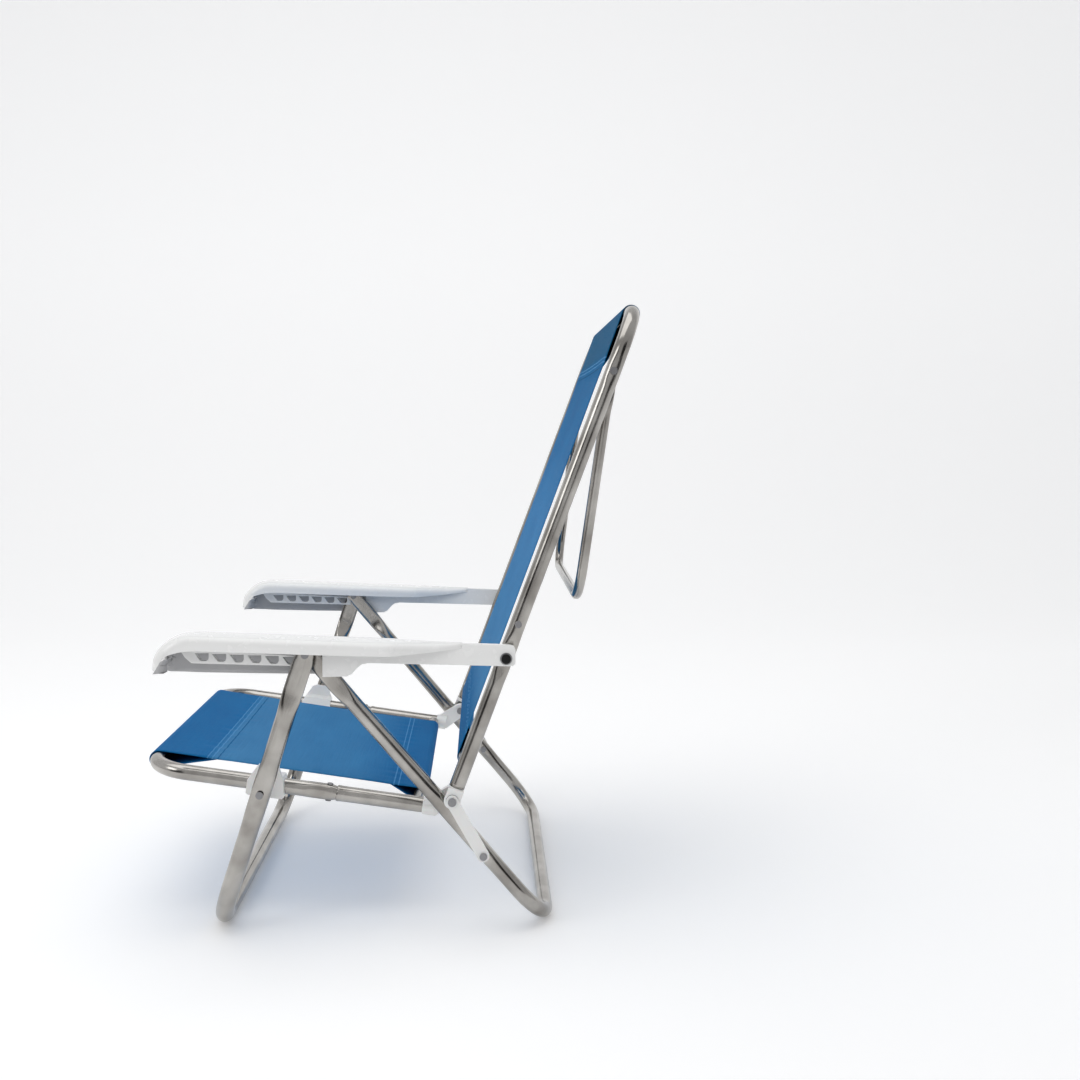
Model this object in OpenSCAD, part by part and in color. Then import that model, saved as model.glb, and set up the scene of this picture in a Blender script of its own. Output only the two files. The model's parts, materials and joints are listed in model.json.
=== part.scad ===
// Folding and reclining beach chair in bare aluminium tube, with two
// stretched slings, moulded armrests and a swinging support leg behind the
// backrest. Millimetres. +Z is up, the sitter faces -Y, +X is the sitter's
// left. The origin is on the floor, under the middle of the whole chair; the
// sizes below are measured from half way between the two floor bars.
// Everything is drawn as it stands in use, with the backrest upright.

/* [Display] */
// Which sub-part to draw

/* [Side layout] */
// Height of the upper leg pin above the floor
pin_z = 349; // [330:1:370]
// Upper leg pin, distance behind the origin (negative is in front)
pin_y = -86; // [-100:1:-70]
// Half the spacing of the two floor bars
foot_y = 199; // [185:1:215]
// Height of the rivet that joins the front leg to the seat rail
seat_rivet_z = 181; // [170:1:192]
// Lower hinge of the backrest, behind the origin
hinge_y = 84; // [78:1:92]
// Lower hinge of the backrest, above the floor
hinge_z = 169; // [162:1:176]
// Distance from the upper leg pin down the rear leg to the link rivet
link_rivet_s = 322; // [312:1:332]
// Backrest angle above the horizontal when upright
back_angle = 69.6; // [64:0.2:74]
// Distance from the lower hinge up the post to the armrest screw
arm_screw_s = 184; // [174:1:194]
// Distance from the lower hinge up the post to the support leg rivet
support_rivet_s = 545; // [520:1:570]
// Distance from the lower hinge to the axis of the backrest's top bar
back_top_s = 622; // [590:1:660]
// Slope of the seat rails, down to the rear
seat_slope = 8.6; // [4:0.2:12]
// Distance from the seat rivet forward to the axis of the front bar
seat_front = 142; // [125:1:160]
// Distance from the seat rivet back to the end of the rear rail
seat_rear = 203; // [190:1:212]

/* [Tubes] */
// Outside diameter of the front leg tube
front_tube = 22.2; // [19:0.1:25]
// Outside diameter of the rear leg, seat and backrest tube
main_tube = 19.05; // [17:0.05:21]
// Outside diameter of the support leg tube
support_tube = 12.7; // [11:0.1:14]
// Outside diameter of the cross bars that carry the slings
bar_tube = 15.9; // [14:0.1:17]
// Wall thickness of every tube
wall = 1.2; // [0.9:0.1:1.6]
// Thickness of a flattened tube end
flat_t = 8; // [6:0.5:9]
// Width of the front leg's flattened end
front_flat_w = 24; // [20:1:28]
// Width of the rear leg's flattened end
rear_flat_w = 21; // [18:1:24]
// Length of the flattened end of the front leg
front_flat_l = 96; // [80:1:110]
// Length of the flattened end of the rear leg
rear_flat_l = 84; // [76:1:90]

/* [Widths] */
// Centre plane of each armrest, from the middle of the chair
arm_x = 272; // [262:1:290]
// Offset of the front leg's flat end outward of the armrest plane
front_off = 10; // [9:0.5:12]
// Offset of the rear leg's flat end inward of the armrest plane
rear_off = 10.5; // [9:0.5:12]
// Backrest posts inward of the armrest plane
post_off = 15.5; // [14.5:0.5:18]
// Seat rails inward of the armrest plane
rail_off = 45.5; // [43:0.5:52]
// Front leg at the floor, inward of the armrest plane
front_foot_off = 20; // [14:1:24]
// Rear leg at the floor, inward of the armrest plane
rear_foot_off = 24; // [22:1:32]
// Support leg inward of the armrest plane
support_off = 33; // [32:1:40]
// Support leg's lower corners, inward of the armrest plane
support_foot_off = 62; // [45:1:90]
// Bend radius of the front leg's corners
front_bend = 66; // [50:1:80]
// Bend radius of the rear leg's corners
rear_bend = 60; // [50:1:70]
// Bend radius of the seat's front corners
seat_bend = 44; // [36:1:52]
// Bend radius of the backrest's top corners
back_bend = 52; // [40:1:64]
// Bend radius of the support leg's corners
support_bend = 44; // [34:1:56]

/* [Slings] */
// Half the width of the seat sling
seat_sling_hw = 188; // [170:1:196]
// Half the width of the back sling
back_sling_hw = 205; // [190:1:212]
// Thickness of a sling
sling_t = 1.4; // [1.2:0.1:2]
// Gap between a sling and the bar inside its hem
hem_gap = 0.3; // [0.2:0.1:0.5]
// Distance from the lower hinge up the post to the lower back bar
low_bar_s = 40; // [36:1:50]
// Distance from the seat rivet back to the seat's rear bar
rear_bar_y = 186; // [176:1:196]

/* [Armrest] */
// Width of the armrest's top
arm_w = 50; // [44:1:54]
// Thickness of the armrest's middle web
arm_web = 8; // [7:0.5:9]
// Thickness of the armrest's shell
arm_skin = 3; // [2.5:0.5:3.5]
// Diameter of the upper leg pin
pin_d = 5; // [4.5:0.1:6]
// Clearance of the armrest's slot round the pin
slot_gap = 0.4; // [0.3:0.1:0.6]
// Recline range of the backrest
recline = 58; // [50:1:60]
// Rise of the slot from its rear end to its front end
slot_rise = 4; // [2:0.5:5]
// Width of the open gate below the rear end of the slot
gate_w = 24.5; // [22:0.5:28]
// Pitch of the windows in the armrest's rack
window_pitch = 21; // [18:0.5:23]
// Depth of each window into the rack's faces
window_deep = 2.4; // [1.5:0.1:3]

/* [Fixings] */
// Diameter of the lower hinge bolts and the armrest screws
bolt_d = 6; // [5:0.1:6.4]
// Diameter of the link, seat and support rivets
rivet_d = 5; // [4:0.1:5.5]
// Outside diameter of the lower hinge's steel bushes
bush_d = 15; // [13:0.2:15.4]
// Outside diameter of the armrests' steel bushes
arm_bush_d = 14; // [12:0.2:14.4]
// Radial running clearance of every turning fit
fit = 0.05; // [0.02:0.01:0.1]
// Diameter of the rivet heads
head_d = 9; // [8:0.5:11]

/* [Hidden] */
$fn = 64;
e = 0.01;
T = [pin_y, pin_z];
FF = [-foot_y, front_tube / 2];
RF = [foot_y, main_tube / 2];
A = [T[0] + (T[1] - seat_rivet_z) * (FF[0] - T[0]) / (T[1] - FF[1]), seat_rivet_z];
B = [hinge_y, hinge_z];
front_len = norm(FF - T);
rear_len = norm(RF - T);
front_turn = atan2(FF[0] - T[0], T[1] - FF[1]);
rear_turn = atan2(RF[0] - T[0], T[1] - RF[1]);
C = T + link_rivet_s * (RF - T) / rear_len;
post_dir = [cos(back_angle), sin(back_angle)];
P = B + arm_screw_s * post_dir;
Q = B + support_rivet_s * post_dir;
post_x = arm_x - post_off;
rail_x = arm_x - rail_off;
front_flat_x = arm_x + front_off;
rear_flat_x = arm_x - rear_off;
support_x = arm_x - support_off;
rt = main_tube / 2;
ft = front_tube / 2;
// lateral places where the pieces pass each other at the lower hinge
rear_axis_top = arm_x - 12;
rear_axis_foot = arm_x - rear_foot_off;
rear_x_at_B = rear_axis_top + (rear_axis_foot - rear_axis_top) * ((B - T) * (RF - T) / rear_len) / rear_len;
rear_x_at_C = rear_axis_top + (rear_axis_foot - rear_axis_top) * link_rivet_s / rear_len;
eye_x0 = rear_x_at_B + rt + 0.7;
eye_x1 = eye_x0 + 5.2;
link_x0 = eye_x1 + 0.6;
link_x1 = link_x0 + 5;
lug_x1 = rail_x + rt + 0.6;
boss_x1 = rear_x_at_B - rt - 0.9;
lug_x0 = rail_x + 0.5;
// support leg, hanging almost plumb behind the backrest
support_lean = 7.5;
bed_pivot_z = B[1] + support_rivet_s * sin(back_angle - recline);
support_len = (bed_pivot_z - support_tube / 2) / cos(10.7);
// armrest, side view
top_z0 = pin_z + 24.5;
function top_z(y) = top_z0 - (y + 214) * 0.041;
v0 = T - P;
chord = norm(v0);
chord_a = atan2(v0[1], v0[0]);
function turn2(v, a) = [v[0] * cos(a) - v[1] * sin(a), v[0] * sin(a) + v[1] * cos(a)];
function post_at(r, s) = B + s * [cos(back_angle - r), sin(back_angle - r)];
v1 = T - post_at(recline, arm_screw_s);
arm_turn = atan2(v1[1], v1[0]) - chord_a + asin(slot_rise / norm(v1));
arm_turn_n = arm_turn > 180 ? arm_turn - 360 : (arm_turn < -180 ? arm_turn + 360 : arm_turn);
function slot_pt(k) = P + turn2(T - post_at(recline * k, arm_screw_s), -arm_turn_n * k);
slot_r = pin_d / 2 + slot_gap;
slot_n = 16;
// middle of the chair from front to back, from half way between the floor bars
origin_y = (A[0] - seat_front * cos(seat_slope) + B[0] + back_top_s * cos(back_angle)) / 2;

alu = [0.80, 0.81, 0.82];
white = [0.93, 0.93, 0.92];
steel = [0.62, 0.62, 0.63];
blue = [0.20, 0.47, 0.68];

// ---- shared shapes ----

// from the floor bars' middle to the chair's own origin
module place() {
  translate([0, -origin_y, 0]) children();
}

// a plain rod along +X from x0 to x1 through the side-view point p
module xrod(p, x0, x1, r, fn = 64) {
  translate([x0, p[0], p[1]]) rotate([0, 90, 0]) cylinder(h = x1 - x0, r = r, $fn = fn);
}

// a plate of side-view outline pts between x0 and x1
module xplate(x0, x1, pts) {
  translate([x0, 0, 0]) rotate([90, 0, 90]) linear_extrude(height = x1 - x0) polygon(pts);
}

module both_sides() {
  children();
  mirror([1, 0, 0]) children();
}

// half of a flat U in the X-Z plane: a leg from (xt, z0) towards the corner
// (xb, -len), a bend of radius br and half of the bar along X
module half_u(xt, xb, len, br, r, z0, over) {
  tau = atan((xt - xb) / len);
  t = br * tan((90 - tau) / 2);
  leg = (len - z0) / cos(tau) - t;
  x_start = xt - z0 * tan(tau);
  translate([x_start, 0, -z0]) rotate([0, 180 + tau, 0]) {
    translate([0, 0, -over]) cylinder(h = leg + over, r = r);
    // a hair-thick ring joins the leg to the bend
    translate([0, 0, leg - 0.3]) cylinder(h = 0.6, r = r + 0.05);
  }
  translate([xb - t, 0, -len + br]) rotate([90, 0, 0]) rotate([0, 0, -90])
    rotate_extrude(angle = 90 - tau) translate([br, 0]) circle(r = r);
  translate([-e, 0, -len]) rotate([0, 90, 0]) cylinder(h = xb - t + e, r = r);
}

module u_tube(xt, xb, len, br, d, z0) {
  difference() {
    both_sides() half_u(xt, xb, len, br, d / 2, z0, 0);
    both_sides() half_u(xt, xb, len, br, d / 2 - wall, z0 + 5, 0);
  }
}

// a flattened tube end of half width w0 at the pin and w1 at its root
module flat_end(x0, w0, w1, l) {
  translate([x0, 0, 0]) {
    rotate([0, 90, 0]) cylinder(h = flat_t, r = w0);
    rotate([90, 0, 90]) linear_extrude(height = flat_t)
      polygon([[-w0, 0], [-w1, -24], [-w1, -l], [w1, -l], [w1, -24], [w0, 0]]);
  }
}

module rivet(p, x0, x1, d, hd, hx) {
  xrod(p, x0, x1, d / 2);
  if (hx > x1 - e) xrod(p, x1 - e, hx, hd / 2);
}

// frame of the seat: origin at the seat rivet, +Y back along the rails
module on_seat() {
  translate([0, A[0], A[1]]) rotate([-seat_slope, 0, 0]) children();
}

// frame of the backrest: origin at the lower hinge, +Z up the posts
module on_back() {
  translate([0, B[0], B[1]]) rotate([back_angle - 90, 0, 0]) children();
}

// lower hinge seen from the seat's frame
Bs = turn2(B - A, seat_slope);

// ---- legs ----

module rear_leg_frame() {
  color(alu) place() difference() {
    translate([0, T[0], T[1]]) rotate([rear_turn, 0, 0]) {
      u_tube(rear_axis_top, rear_axis_foot, rear_len, rear_bend, main_tube, rear_flat_l);
      both_sides() flat_end(rear_flat_x - flat_t / 2, 9.5, rear_flat_w / 2, rear_flat_l + 8);
    }
    both_sides() xrod(T, rear_flat_x - 12, rear_flat_x + 12, pin_d / 2);
    both_sides() xrod(C, rear_x_at_C - 14, rear_x_at_C + 14, rivet_d / 2);
  }
}

module leg_pivot_pins() {
  color(steel) place() both_sides() {
    xrod(T, rear_flat_x - flat_t / 2, front_flat_x + flat_t / 2 + 0.4, pin_d / 2);
    xrod(T, rear_flat_x - flat_t / 2 - 2, rear_flat_x - flat_t / 2, head_d / 2);
    xrod(T, front_flat_x + flat_t / 2 + 0.4, front_flat_x + flat_t / 2 + 2.2, head_d / 2);
  }
}

module link_rivets() {
  color(steel) place() both_sides() {
    xrod(C, rear_x_at_C - rt - 1.6, link_x1 + 0.4, rivet_d / 2);
    xrod(C, rear_x_at_C - rt - 1.6, rear_x_at_C - rt - 0.1, head_d / 2);
    xrod(C, link_x1 + 0.4, link_x1 + 2.2, head_d / 2);
  }
}

module front_leg_frame() {
  color(alu) place() difference() {
    translate([0, T[0], T[1]]) rotate([front_turn, 0, 0]) {
      u_tube(front_flat_x + 1, arm_x - front_foot_off, front_len, front_bend, front_tube, front_flat_l);
      both_sides() flat_end(front_flat_x - flat_t / 2, 10, front_flat_w / 2, front_flat_l + 8);
    }
    both_sides() xrod(T, front_flat_x - 12, front_flat_x + 12, pin_d / 2 + fit);
    both_sides() xrod(A, front_flat_x - 45, front_flat_x + 12, rivet_d / 2);
  }
}

front_x_at_A = front_flat_x + 1 + (arm_x - front_foot_off - front_flat_x - 1) * norm(A - T) / front_len;
clamp_x1 = front_x_at_A - ft - 1.6;

module seat_rivets() {
  color(steel) place() both_sides() {
    xrod(A, clamp_x1 + 0.4, front_x_at_A + ft, rivet_d / 2);
    xrod(A, front_x_at_A + ft + 0.45, front_x_at_A + ft + 1.6, head_d / 2);
  }
}

// ---- links ----

module link_piece() {
  d = (C - B) / norm(C - B);
  n = [-d[1], d[0]];
  w = 7.2;
  difference() {
    union() {
      xplate(link_x0, link_x1, [B + w * n, B - w * n, C - w * n, C + w * n]);
      xrod(B, link_x0, link_x1, w);
      xrod(C, link_x0, link_x1, w);
      xrod(C, rear_x_at_C + rt + 0.6, link_x0 + e, 6.2);
    }
    xrod(C, rear_x_at_C, link_x1 + 1, rivet_d / 2 + fit);
    xrod(B, link_x0 - 1, link_x1 + 1, bolt_d / 2);
  }
}

module link_left() { color(white) place() link_piece(); }
module link_right() { color(white) place() mirror([1, 0, 0]) link_piece(); }

module hinge_bolts() {
  color(steel) place() both_sides() {
    xrod(B, lug_x0 - 0.4, link_x1, bolt_d / 2);
    xrod(B, link_x1, link_x1 + 2.4, 5);
    xrod(B, lug_x0 - 3.4, lug_x0 - 0.4, 5);
  }
}

// ---- seat ----

joint_y = 88;
module seat_bow() {
  color(alu) place() on_seat() difference() {
    rotate([90, 0, 0]) difference() {
      both_sides() bow_half(rt, 0);
      both_sides() bow_half(rt - wall, 2);
    }
    both_sides() translate([rail_x, joint_y - 12, -20]) cylinder(h = 40, r = 2);
  }
}
// the bow, drawn with its legs along -Z of a turned frame
module bow_half(r, over) {
  t = seat_bend;
  translate([rail_x, 0, -joint_y - over]) cylinder(h = joint_y + over + seat_front - t, r = r);
  translate([rail_x - t, 0, seat_front - t]) rotate([90, 0, 0])
    rotate_extrude(angle = 90) translate([t, 0]) circle(r = r);
  translate([-e, 0, seat_front]) rotate([0, 90, 0]) cylinder(h = rail_x - t + e, r = r);
}

module rail_piece() {
  on_seat() difference() {
    union() {
      translate([rail_x, seat_rear, 0]) rotate([90, 0, 0])
        cylinder(h = seat_rear - joint_y - 0.3, r = rt);
      translate([rail_x, joint_y + 4, 0]) rotate([90, 0, 0])
        cylinder(h = 32, r = rt - wall - 0.05);
    }
    translate([rail_x, seat_rear + 1, 0]) rotate([90, 0, 0])
      cylinder(h = seat_rear - joint_y + 40, r = rt - 2 * wall - 0.1);
    translate([rail_x, joint_y - 12, -20]) cylinder(h = 40, r = 2);
  }
}
module seat_rail_left() { color(alu) place() rail_piece(); }
module seat_rail_right() { color(alu) place() mirror([1, 0, 0]) rail_piece(); }

module seat_joint_rivets() {
  color(steel) place() on_seat() both_sides() translate([rail_x, joint_y - 12, 0]) {
    translate([0, 0, -rt - 0.2]) cylinder(h = 2 * rt + 0.4, r = 2);
    translate([0, 0, rt + 0.1]) cylinder(h = 1.2, r = 3.6);
    translate([0, 0, -rt - 1.3]) cylinder(h = 1.2, r = 3.6);
  }
}

module clamp_piece() {
  plate_x1 = rail_x + rt + 6;
  on_seat() difference() {
    union() {
      xplate(rail_x - 12.6, plate_x1, [[-22, -10.5], [-19, -12.5], [22, -12.5], [24, -10],
        [21, 10], [13, 26], [9, 28.5], [-6, 28.5], [-11, 26], [-22, 6]]);
      xrod([0, 0], rail_x + rt + 1, clamp_x1, 7.5);
    }
    translate([rail_x, 40, 0]) rotate([90, 0, 0]) cylinder(h = 80, r = rt);
    translate([rail_x - 20, -40, 13]) cube([20 + rt + 1, 80, 40]);
  }
}
module seat_clamp_left() { color(white) place() clamp_piece(); }
module seat_clamp_right() { color(white) place() mirror([1, 0, 0]) clamp_piece(); }

module rail_end_piece() {
  on_seat() difference() {
    union() {
      translate([rail_x, seat_rear + 3, 0]) rotate([90, 0, 0]) cylinder(h = 15, r = rt + 1.3);
      xplate(lug_x0, lug_x1, [[seat_rear - 11, -9], [seat_rear + 5, -9], Bs + [9.6, -4],
        Bs + [9.2, 4], Bs + [-6, 8.4], [seat_rear - 11, 8]]);
      xrod(Bs, lug_x0, lug_x1, 10);
      xrod(Bs, lug_x1 - e, boss_x1, 4.6);
    }
    translate([rail_x, seat_rear, 0]) rotate([90, 0, 0]) cylinder(h = 20, r = rt);
    xrod(Bs, lug_x0 - 1, boss_x1 + 1, bolt_d / 2 + fit);
  }
}
module rail_end_left() { color(white) place() rail_end_piece(); }
module rail_end_right() { color(white) place() mirror([1, 0, 0]) rail_end_piece(); }

module seat_rear_bar() {
  color(alu) place() on_seat() difference() {
    translate([-rail_x + rt - 1, rear_bar_y, 0]) rotate([0, 90, 0])
      cylinder(h = 2 * (rail_x - rt + 1), r = bar_tube / 2);
    translate([-rail_x, rear_bar_y, 0]) rotate([0, 90, 0])
      cylinder(h = 2 * rail_x, r = bar_tube / 2 - wall);
    both_sides() translate([rail_x, seat_rear + 9, 0]) rotate([90, 0, 0]) cylinder(h = 60, r = rt);
    both_sides() translate([rail_x, seat_rear + 3.1, 0]) rotate([90, 0, 0]) cylinder(h = 15.2, r = rt + 1.35);
  }
}

// a sling between two bars at y0 and y1, its upper face over both bars
module sling(hw, y0, r0, y1, r1) {
  a = atan2(r1 - r0, y1 - y0);
  g = hem_gap;
  difference() {
    union() {
      translate([-hw, y0, 0]) rotate([0, 90, 0]) cylinder(h = 2 * hw, r = r0 + g + sling_t);
      translate([-hw, y1, 0]) rotate([0, 90, 0]) cylinder(h = 2 * hw, r = r1 + g + sling_t);
      xplate(-hw, hw, [[y0, r0 + g], [y1, r1 + g], [y1, r1 + g + sling_t], [y0, r0 + g + sling_t]]);
    }
    translate([-hw - 1, y0, 0]) rotate([0, 90, 0]) cylinder(h = 2 * hw + 2, r = r0 + g);
    translate([-hw - 1, y1, 0]) rotate([0, 90, 0]) cylinder(h = 2 * hw + 2, r = r1 + g);
  }
}

module seat_sling() {
  color(blue) place() on_seat() sling(seat_sling_hw, -seat_front, rt, rear_bar_y, bar_tube / 2);
}

// ---- backrest ----

module hinge_bush_piece() {
  difference() {
    xrod(B, eye_x0 - 0.3, eye_x1 + 0.2, bush_d / 2);
    xrod(B, eye_x0 - 1, eye_x1 + 1, bolt_d / 2 + fit);
  }
}
module hinge_bush_left() { color(steel) place() hinge_bush_piece(); }
module hinge_bush_right() { color(steel) place() mirror([1, 0, 0]) hinge_bush_piece(); }

post_start = 15;
module backrest_frame() {
  color(alu) place() difference() {
    on_back() {
      difference() {
        both_sides() post_half(rt, 0);
        both_sides() post_half(rt - wall, 2);
      }
    }
    both_sides() xrod(P, post_x - 14, post_x + 14, bolt_d / 2);
    both_sides() xrod(Q, post_x - 14, post_x + 14, rivet_d / 2);
  }
}
module post_half(r, over) {
  t = back_bend;
  translate([post_x, 0, post_start - over]) cylinder(h = back_top_s - post_start - t + over, r = r);
  translate([post_x - t, 0, back_top_s - t]) rotate([90, 0, 0])
    rotate_extrude(angle = 90) translate([t, 0]) circle(r = r);
  translate([-e, 0, back_top_s]) rotate([0, 90, 0]) cylinder(h = post_x - t + e, r = r);
}

module cap_piece() {
  difference() {
    on_back() {
      translate([post_x, 0, post_start - 5]) cylinder(h = 5, r = rt);
      translate([post_x, 0, post_start]) cylinder(h = 18, r = rt - wall);
      translate([eye_x0, 0, 0]) rotate([0, 90, 0]) cylinder(h = eye_x1 - eye_x0, r = rt + 0.6);
      translate([eye_x0, -rt, 0]) cube([eye_x1 - eye_x0, 2 * rt, post_start - 0.5]);
    }
    xrod(B, eye_x0 - 1, eye_x1 + 1, bush_d / 2 + fit);
  }
}
module backrest_cap_left() { color(white) place() cap_piece(); }
module backrest_cap_right() { color(white) place() mirror([1, 0, 0]) cap_piece(); }

module backrest_low_bar() {
  color(alu) place() on_back() difference() {
    translate([-post_x + rt - 1, 0, low_bar_s]) rotate([0, 90, 0])
      cylinder(h = 2 * (post_x - rt + 1), r = bar_tube / 2);
    translate([-post_x, 0, low_bar_s]) rotate([0, 90, 0])
      cylinder(h = 2 * post_x, r = bar_tube / 2 - wall);
    both_sides() translate([post_x, 0, 0]) cylinder(h = 90, r = rt);
  }
}

module back_sling() {
  color(blue) place() on_back() rotate([90, 0, 0])
    sling(back_sling_hw, low_bar_s, bar_tube / 2, back_top_s, rt);
}

module support_rivets() {
  color(steel) place() both_sides() {
    xrod(Q, support_x - support_tube / 2 + 1.4, post_x + rt + 0.4, rivet_d / 2);
    xrod(Q, post_x + rt - 0.05, post_x + rt + 1.7, head_d / 2);
    xrod(Q, support_x - support_tube / 2 - 0.4, support_x - support_tube / 2 + 1.4, head_d / 2);
  }
}

module support_leg() {
  color(alu) place() difference() {
    translate([0, Q[0], Q[1]]) rotate([-support_lean, 0, 0]) {
      u_tube(support_x, arm_x - support_foot_off, support_len, support_bend, support_tube, 34);
      both_sides() translate([support_x - 4.4, 0, 0]) {
        rotate([0, 90, 0]) cylinder(h = 8.8, r = 7.4);
        translate([0, -7.4, -42]) cube([8.8, 14.8, 42]);
      }
    }
    both_sides() xrod(Q, support_x - 12, support_x + 12, rivet_d / 2 + fit);
  }
}

module armrest_screw_piece() {
  x1 = arm_x + arm_web / 2 + 0.4;
  xrod(P, post_x - rt - 2.5, x1, bolt_d / 2);
  xrod(P, x1, x1 + 2.6, 5.6);
  xrod(P, post_x - rt - 3.6, post_x - rt - 0.1, 5);
}
module armrest_screw_left() { color([0.05, 0.05, 0.05]) place() armrest_screw_piece(); }
module armrest_screw_right() { color([0.05, 0.05, 0.05]) place() mirror([1, 0, 0]) armrest_screw_piece(); }

module post_rivets() {
  p = B + (arm_screw_s + 42) * post_dir;
  color(steel) place() both_sides() difference() {
    xrod(p, post_x + rt - 0.9, post_x + rt + 1.3, 4.2);
    on_back() translate([post_x, 0, post_start]) cylinder(h = 400, r = rt);
  }
}

// ---- armrests: one moulding, used on both sides ----

module armrest_bush_piece(x) {
  difference() {
    xrod(P, x - arm_web / 2 - 0.2, x + arm_web / 2 + 0.2, arm_bush_d / 2);
    xrod(P, x - 20, x + 20, bolt_d / 2 + fit);
  }
}
module armrest_bush_left() { color(steel) place() armrest_bush_piece(arm_x); }
module armrest_bush_right() { color(steel) place() armrest_bush_piece(-arm_x); }

rear_y = P[0] + 11;
nose_y = P[0] - 411;
// outer outline of the shell, seen from the side
outer_pts = [
  [nose_y, pin_z - 16.5], [nose_y + 1.2, pin_z - 5], [nose_y + 3.6, pin_z + 1.5],
  [nose_y + 7, pin_z + 6.5], [nose_y + 12, pin_z + 12], [nose_y + 18, pin_z + 17],
  [nose_y + 25, pin_z + 20.8], [nose_y + 33, pin_z + 23.3], [nose_y + 42, pin_z + 24.5],
  [nose_y + 52, top_z(nose_y + 52)], [rear_y, top_z(rear_y)]];
// underside of the shell, seen from the side
inner_pts = [
  [nose_y + 8.5, pin_z - 20], [nose_y + 8.5, pin_z - 14], [nose_y + 10.5, pin_z - 6],
  [nose_y + 14, pin_z + 4], [nose_y + 20, pin_z + 12.5], [nose_y + 29, pin_z + 19],
  [nose_y + 42, pin_z + 21.2], [nose_y + 52, top_z(nose_y + 52) - arm_skin]];
shell_rear = 96;
band_pts = [[shell_rear, top_z(shell_rear) - 12.5], [pin_y, pin_z - 1.2],
  [-225, pin_z + 3.2], [-236, pin_z + 2.6], [nose_y + 15, pin_z - 2],
  [nose_y + 10.5, pin_z - 10], [nose_y + 8.5, pin_z - 18], [nose_y + 4, pin_z - 19.5]];
gusset_y = P[0] - 186;
skirt_pts = [[gusset_y + 16, pin_z - 9], [gusset_y + 12, pin_z - 18], [gusset_y + 4, pin_z - 25],
  [gusset_y - 2, pin_z - 28.5], [pin_y, pin_z - 28.8], [-219, pin_z - 26.5], [nose_y + 12, pin_z - 24.5],
  [nose_y + 8, pin_z - 20], [nose_y + 4, pin_z - 19.5]];
gate_y1 = P[0] - chord + 18.8;
gate_y0 = gate_y1 - gate_w;
web_low_front = pin_z - 15.6;

module shell_solid(cut) {
  // cut = 0: full profile down to the deep skirt; cut = 1: the hollow
  if (cut == 0)
    xplate(-arm_w / 2, arm_w / 2, concat(outer_pts, [[rear_y, pin_z - 40], [nose_y, pin_z - 40]]));
  else
    xplate(-arm_w / 2 + 2.5, arm_w / 2 - 2.5, concat(inner_pts,
      [[rear_y + 5, top_z(rear_y + 5) - arm_skin], [rear_y + 5, pin_z - 60], [nose_y + 8.5, pin_z - 60]]));
}

module below(pts, x0, x1) {
  // everything under a lower edge given from rear to front
  xplate(x0, x1, concat(pts, [[nose_y - 5, pts[len(pts) - 1][1]], [nose_y - 5, pin_z - 90], [pts[0][0], pin_z - 90]]));
}

module plan_outline() {
  // the shell narrows to the web towards the rear
  translate([0, 0, pin_z - 60]) linear_extrude(height = 120) polygon([
    [-arm_w / 2, nose_y + 16], [-arm_w / 2 + 3, nose_y + 7], [-arm_w / 2 + 9, nose_y + 1.5], [-arm_w / 2 + 16, nose_y],
    [arm_w / 2 - 16, nose_y], [arm_w / 2 - 9, nose_y + 1.5], [arm_w / 2 - 3, nose_y + 7], [arm_w / 2, nose_y + 16],
    [arm_w / 2, 20], [arm_web / 2 + 6, shell_rear - 18], [arm_web / 2, shell_rear], [-arm_web / 2, shell_rear],
    [-arm_web / 2 - 6, shell_rear - 22], [-arm_w / 2, 12]]);
}

module web_plate() {
  // middle web: rack, gusset and rear plate
  xplate(-arm_web / 2, arm_web / 2, [
    [nose_y + 46, top_z(nose_y + 52) - 2], [rear_y - 6, top_z(rear_y) - 0.2], [rear_y, top_z(rear_y) - 3],
    [rear_y, P[1] - 8.5], [rear_y - 3, P[1] - 9.2], [gusset_y + 22, pin_z - 12], [gusset_y + 14, pin_z - 14],
    [gusset_y + 9, pin_z - 19], [gusset_y + 3, pin_z - 26], [gusset_y - 4, pin_z - 28],
    [gate_y1, pin_z - 28], [gate_y0, web_low_front], [-219, pin_z - 12.4], [-229, pin_z + 2], [nose_y + 22, pin_z + 7],
    [nose_y + 25, pin_z + 18]]);
}

module slot_cut() {
  c = [for (k = [0:slot_n]) slot_pt(k / slot_n)];
  w = arm_web / 2 + 2;
  xplate(-w, w, concat([for (k = [0:slot_n]) c[k] + [0, slot_r]],
    [for (k = [slot_n:-1:0]) c[k] - [0, slot_r]]));
  xrod(c[0], -w, w, slot_r);
  xrod(c[slot_n], -w, w, slot_r);
  // hanging pockets above the slot, one for each backrest position
  for (k = [0:7]) {
    q = slot_pt(k / 7);
    if (q[1] + slot_r + 3 < top_z(q[0]) - 4)
      translate([-w, q[0] - 3.2, q[1]]) cube([2 * w, 6.4, slot_r + 2.6]);
  }
  // open gate below the slot's rear end, where the pin leaves in folding
  translate([-arm_web / 2 - 2, gate_y0, pin_z - 60]) cube([arm_web + 4, gate_w, 60 + slot_r]);
}

module window(y) {
  z1 = pin_z - 5.6 - (y + 103) * 0.03;
  h = 7.2;
  for (s = [-1, 1]) translate([s > 0 ? arm_web / 2 - window_deep : -arm_web / 2 - 1, 0, 0])
    xplate(0, window_deep + 1, [[y - 14.6, z1], [y - 10.5, z1 - h * 0.72], [y - 7, z1 - h],
      [y - 1.6, z1 - h], [y, z1 - h * 0.6], [y, z1]]);
}

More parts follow.
